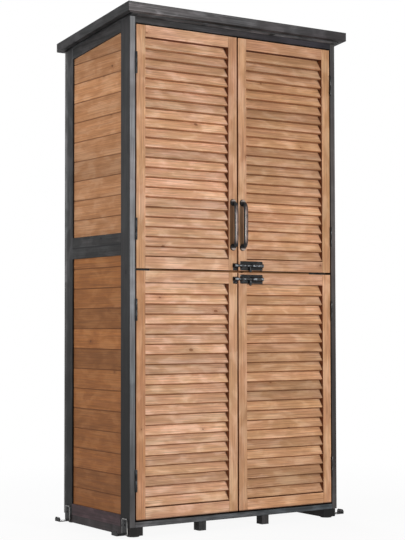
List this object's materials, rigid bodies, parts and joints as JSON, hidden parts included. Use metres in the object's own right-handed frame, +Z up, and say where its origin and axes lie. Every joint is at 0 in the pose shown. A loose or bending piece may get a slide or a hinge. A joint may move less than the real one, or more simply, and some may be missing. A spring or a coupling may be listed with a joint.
{
  "type": "garden storage cabinet",
  "caption": "Tall timber garden cabinet with a sloping felt roof, boarded sides and two pairs of louvred doors, with shelves, barrel bolts and ground brackets.",
  "frame": {"origin": "on the ground, below the middle of the roof", "axes": "+X to the right seen from the front, +Y from the doors towards the back, +Z up"},
  "size_m": [0.866, 0.461, 1.6],
  "materials": {
    "stained_frame": "charcoal grey stain over planed softwood, matt, grain showing through",
    "panel_timber": "red-brown tan stain over planed softwood boards, matt",
    "door_timber": "light tan fir under a clear matt finish, few small knots",
    "raw_timber": "planed untreated softwood",
    "roofing_felt": "black mineral roofing felt, rough",
    "black_hardware": "black satin coating on steel",
    "bracket_steel": "black coating on pressed steel, slightly worn at the edges",
    "foot_rubber": "black rubber, matt"
  },
  "bodies": {
    "carcase": {"left_front_post": "stained_frame", "left_rear_post": "stained_frame", "left_side_rails": "stained_frame", "left_skid": "stained_frame", "left_lower_side_boards": "panel_timber", "left_upper_side_boards": "panel_timber", "right_front_post": "stained_frame", "right_rear_post": "stained_frame", "right_side_rails": "stained_frame", "right_skid": "stained_frame", "right_lower_side_boards": "panel_timber", "right_upper_side_boards": "panel_timber", "back_stiles": "stained_frame", "back_rails": "stained_frame", "front_top_rail": "stained_frame", "front_bottom_rail": "stained_frame", "door_stops": "stained_frame", "middle_feet": "stained_frame", "front_fascia": "stained_frame", "rear_fascia": "stained_frame", "side_fascias": "stained_frame", "roof_deck_boards": "stained_frame", "roof_bearers": "stained_frame", "front_soffit": "stained_frame", "back_lower_boards": "panel_timber", "back_upper_boards": "panel_timber", "floor_boards": "raw_timber", "rear_floor_bearer": "raw_timber", "upper_shelf": "raw_timber", "middle_shelf": "raw_timber", "lower_shelf": "raw_timber", "shelf_cleats": "raw_timber", "roof_felt": "roofing_felt", "foot_pads": "foot_rubber", "post_hinge_leaves": "black_hardware", "ground_brackets": "bracket_steel"},
    "upper_left_door": {"upper_left_door_stiles": "door_timber", "upper_left_door_rails": "door_timber", "upper_left_door_louvres": "door_timber", "upper_left_door_hinge_leaves": "black_hardware", "left_handle": "black_hardware", "upper_keeper": "black_hardware"},
    "upper_right_door": {"upper_right_door_stiles": "door_timber", "upper_right_door_rails": "door_timber", "upper_right_door_louvres": "door_timber", "upper_right_door_hinge_leaves": "black_hardware", "right_handle": "black_hardware", "upper_bolt_plate": "black_hardware"},
    "lower_left_door": {"lower_left_door_stiles": "door_timber", "lower_left_door_rails": "door_timber", "lower_left_door_louvres": "door_timber", "lower_left_door_hinge_leaves": "black_hardware", "lower_keeper": "black_hardware"},
    "lower_right_door": {"lower_right_door_stiles": "door_timber", "lower_right_door_rails": "door_timber", "lower_right_door_louvres": "door_timber", "lower_right_door_hinge_leaves": "black_hardware", "lower_bolt_plate": "black_hardware"},
    "upper_barrel_bolt": {"upper_bolt": "black_hardware"},
    "lower_barrel_bolt": {"lower_bolt": "black_hardware"}
  },
  "joints": [
    {"name": "upper_left_door_hinge", "type": "hinge", "parent": "carcase", "child": "upper_left_door", "pos_m": [-0.374, -0.2012, 1.1724], "axis": [0, 0, -1], "range_deg": [0, 170]},
    {"name": "upper_right_door_hinge", "type": "hinge", "parent": "carcase", "child": "upper_right_door", "pos_m": [0.374, -0.2012, 1.1724], "axis": [0, 0, 1], "range_deg": [0, 170]},
    {"name": "lower_left_door_hinge", "type": "hinge", "parent": "carcase", "child": "lower_left_door", "pos_m": [-0.374, -0.2012, 0.4228], "axis": [0, 0, -1], "range_deg": [0, 170]},
    {"name": "lower_right_door_hinge", "type": "hinge", "parent": "carcase", "child": "lower_right_door", "pos_m": [0.374, -0.2012, 0.4228], "axis": [0, 0, 1], "range_deg": [0, 170]},
    {"name": "upper_bolt_slide", "type": "slide", "parent": "upper_right_door", "child": "upper_barrel_bolt", "axis": [-1, 0, 0], "range_m": [0, 0.014]},
    {"name": "lower_bolt_slide", "type": "slide", "parent": "lower_right_door", "child": "lower_barrel_bolt", "axis": [-1, 0, 0], "range_m": [0, 0.014]}
  ]
}
